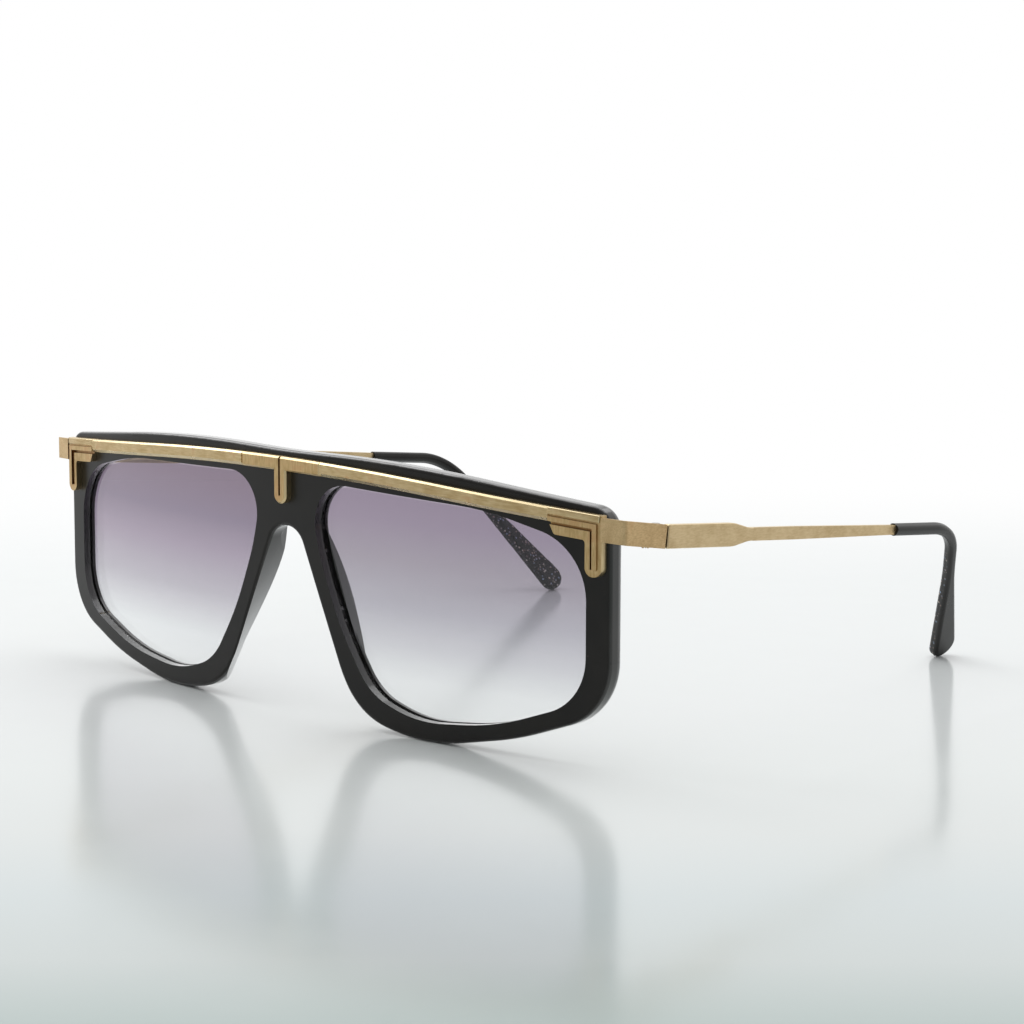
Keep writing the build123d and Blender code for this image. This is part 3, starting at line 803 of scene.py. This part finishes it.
@dataclass
class Temples:
    """The two folding temples with their hinges and moulded ends."""

    nodes: dict[str, bpy.types.Object]
    metal: AntiquedBrass = field(
        default_factory=lambda: AntiquedBrass(
            "brass_plated_satin_temple",
            pale="#d6bf96",
            deep="#c4ab81",
            brush=(1.0, 0.15, 1.0),
            ruddy_span=(0.6, 0.85),
            depth_mm=0.006,
            across="X",
            wear_and_highlight_share=0.45,
        )
    )
    hinge: AntiquedBrass = field(
        default_factory=lambda: AntiquedBrass(
            "brass_milled_hinge",
            pale="#a68f63",
            deep="#7a6643",
            ruddy_span=(0.5, 0.7),
            roughness=(0.3, 0.45),
            across="Z",
            wear_and_highlight_share=0.2,
        )
    )
    tip: MouldedNylon = field(
        default_factory=lambda: MouldedNylon(
            "nylon_moulded_linty_black",
            satin=0.36,
            polished=0.3,
            gloss=0.34,
            coat=0.0,
            light="#1d1b18",
            # The real lint is finer and denser than the picture can show, so it is drawn coarser.
            lint=("#ded9ce", "#a06c4c", "#9fb3cf"),
            lint_mm=0.62,
            lint_share=0.48,
            lint_chosen=0.42,
            inside_only=True,
        )
    )
    foot_radius_mm: float = 0.38
    foot_drop_mm: float = 0.7
    foot_inset_mm: float = 0.65  # how far in from the side plate's outer face it stands
    foot_rounding_share: float = 0.6  # of its radius

    def build(self) -> None:
        """Dress both temples and set the foot of each hinge slot."""
        metal, hinge, tip = self.metal.make(), self.hinge.make(), self.tip.make()
        steel = TurnedSteel("steel_turned_hinge_screw", light="#8b877f", dark="#4c4842").make()
        for hand in Hand:
            dress(self.nodes[hand.of("temple_plate")], metal)
            dress(self.nodes[hand.of("temple_strip")], metal)
            dress(self.nodes[hand.of("temple_tip")], tip)
            dress(self.nodes[hand.of("hinge_front")], hinge)
            dress(self.nodes[hand.of("hinge_temple")], hinge)
            dress(self.nodes[hand.of("hinge_screw")], steel)
            self.add_foot(hand, steel)

    def add_foot(self, hand: Hand, material: bpy.types.Material) -> None:
        """Set the small dark foot that shows below the slot between the two plates.

        Args:
            hand: The side of the glasses.
            material: Its finish.
        """
        node = self.nodes[hand.of("endpiece")]
        low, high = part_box(node.name)
        outer = high[0] if hand is Hand.RIGHT else low[0]
        radius, drop = self.foot_radius_mm * MM, self.foot_drop_mm * MM
        x, y = outer - hand.value * self.foot_inset_mm * MM, high[1] - radius
        edge = probe(node, (x, y, UNDER_SIDES), (0, 0, 1)).z
        shape = bmesh.new()
        place = Matrix.Translation((x, y, edge))
        bmesh.ops.create_cone(
            shape,
            cap_ends=True,
            segments=32,
            radius1=radius,
            radius2=radius,
            depth=drop * 2,
            matrix=place,
        )
        rim = [e for e in shape.edges if all(v.co.z < edge for v in e.verts)]
        bmesh.ops.bevel(
            shape,
            geom=rim,
            offset=radius * self.foot_rounding_share,
            affect="EDGES",
            segments=4,
            profile=0.5,
            material=-1,
        )
        finish_piece(shape, hand.of("slot_foot"), Body.FRONT, material)


@dataclass(frozen=True)
class Softbox:
    """One soft lamp: where it hangs, how wide and high it is, and its power in watts."""

    name: str
    place: tuple[float, float, float]
    size: tuple[float, float]
    power: float

    def hang(self) -> None:
        """Hang the lamp so that it faces the glasses."""
        light = bpy.data.lights.new(self.name, "AREA")
        light.shape = "RECTANGLE"
        light.size, light.size_y = self.size
        light.energy = self.power
        lamp = bpy.data.objects.new(self.name, light)
        bpy.context.scene.collection.objects.link(lamp)
        lamp.location = self.place
        lamp.rotation_euler = (-Vector(self.place)).to_track_quat("-Z", "Y").to_euler()


@dataclass
class Studio:
    """Pale table, white surround, soft lamps and the camera."""

    floor_half: float = 3.0
    heading: float = CAMERA_HEADING
    board: LacqueredBoard = field(default_factory=LacqueredBoard)
    lamps: tuple[Softbox, ...] = (
        Softbox("overhead_softbox", (-0.15, 0.25, 0.9), (1.0, 1.0), 3.6),
        Softbox("left_softbox", (-0.62, -0.12, 0.62), (0.5, 0.5), 2.0),
    )
    camera_place: tuple[float, float, float] = (0.37938, -0.39696, 0.1130)
    tilt: float = 8.80
    roll: float = -0.20
    lens_mm: float = 104.84
    shift: tuple[float, float] = (-0.0001, 0.0028)
    fill_level: float = 0.62  # the surround as light on the object
    gloss_span: tuple[float, float] = (-0.3, 0.5)  # from behind the camera to ahead of it
    gloss_near: float = 0.42  # the surround in gloss, behind the camera

    def build(self) -> None:
        """Make the stage, the lamps, the world and the camera."""
        self.add_floor()
        self.add_world()
        for lamp in self.lamps:
            lamp.hang()
        self.add_camera()
        log.info("studio: floor, world, %d lamps, camera", len(self.lamps))

    def add_floor(self) -> None:
        """Lay the table top."""
        bpy.ops.mesh.primitive_plane_add(size=self.floor_half * 2)
        floor = bpy.context.object
        floor.name = "table_top"
        floor.data.materials.append(self.board.make())

    def add_world(self) -> None:
        """Make a surround that is white for the eye, the glass and the far gloss, and plainer as light."""
        world = bpy.data.worlds.new("surround")
        bpy.context.scene.world = world
        world.use_nodes = True
        tree = world.node_tree
        tree.nodes.clear()
        seen = add_node(tree, "LightPath", output="Is Camera Ray")
        through = seen.node.outputs["Is Transmission Ray"]
        glossy = seen.node.outputs["Is Glossy Ray"]
        heading = add_node(tree, "TexCoord", output="Generated")
        turned = add_node(
            tree, "Mapping", {"Vector": heading, "Rotation": (0.0, 0.0, -math.radians(self.heading))}
        )
        ahead = add_node(tree, "SeparateXYZ", {"Vector": turned}, output="Y")
        gloss_level = add_node(
            tree,
            "MapRange",
            {
                "Value": ahead,
                "From Min": self.gloss_span[0],
                "From Max": self.gloss_span[1],
                "To Min": self.gloss_near,
                "To Max": 1.0,
            },
            interpolation_type="SMOOTHSTEP",
        )
        white = add_node(tree, "Math", {0: seen, 1: through}, operation="MAXIMUM")
        level = add_node(tree, "Mix", {0: glossy, 2: self.fill_level, 3: gloss_level})
        level = add_node(tree, "Mix", {0: white, 2: level, 3: 1.0})
        light = add_node(tree, "Background", {"Color": (1, 1, 1, 1), "Strength": level})
        add_node(tree, "OutputWorld", {"Surface": light})

    def add_camera(self) -> None:
        """Set the camera where the picture was taken from."""
        data = bpy.data.cameras.new("camera")
        data.lens = self.lens_mm
        data.sensor_width = 36.0
        data.shift_x, data.shift_y = self.shift
        data.clip_start, data.clip_end = 0.01, 20.0
        camera = bpy.data.objects.new("camera", data)
        camera.location = self.camera_place
        camera.rotation_euler = Euler(
            (math.radians(90 - self.tilt), math.radians(self.roll), math.radians(self.heading)), "XYZ"
        )
        bpy.context.scene.collection.objects.link(camera)
        bpy.context.scene.camera = camera


def main() -> None:
    """Build the dressed sunglasses and their stage."""
    logging.basicConfig(level=logging.INFO, format="%(message)s")
    for thing in list(bpy.data.objects):
        bpy.data.objects.remove(thing)
    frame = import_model()
    nodes = frame["nodes"]
    for assembly in (Front(nodes), Brow(nodes), Temples(nodes)):
        assembly.build()
        log.info("built %s", type(assembly).__name__)
    Studio().build()
    bpy.context.scene.view_settings.view_transform = "Standard"


if __name__ == "__main__":
    main()
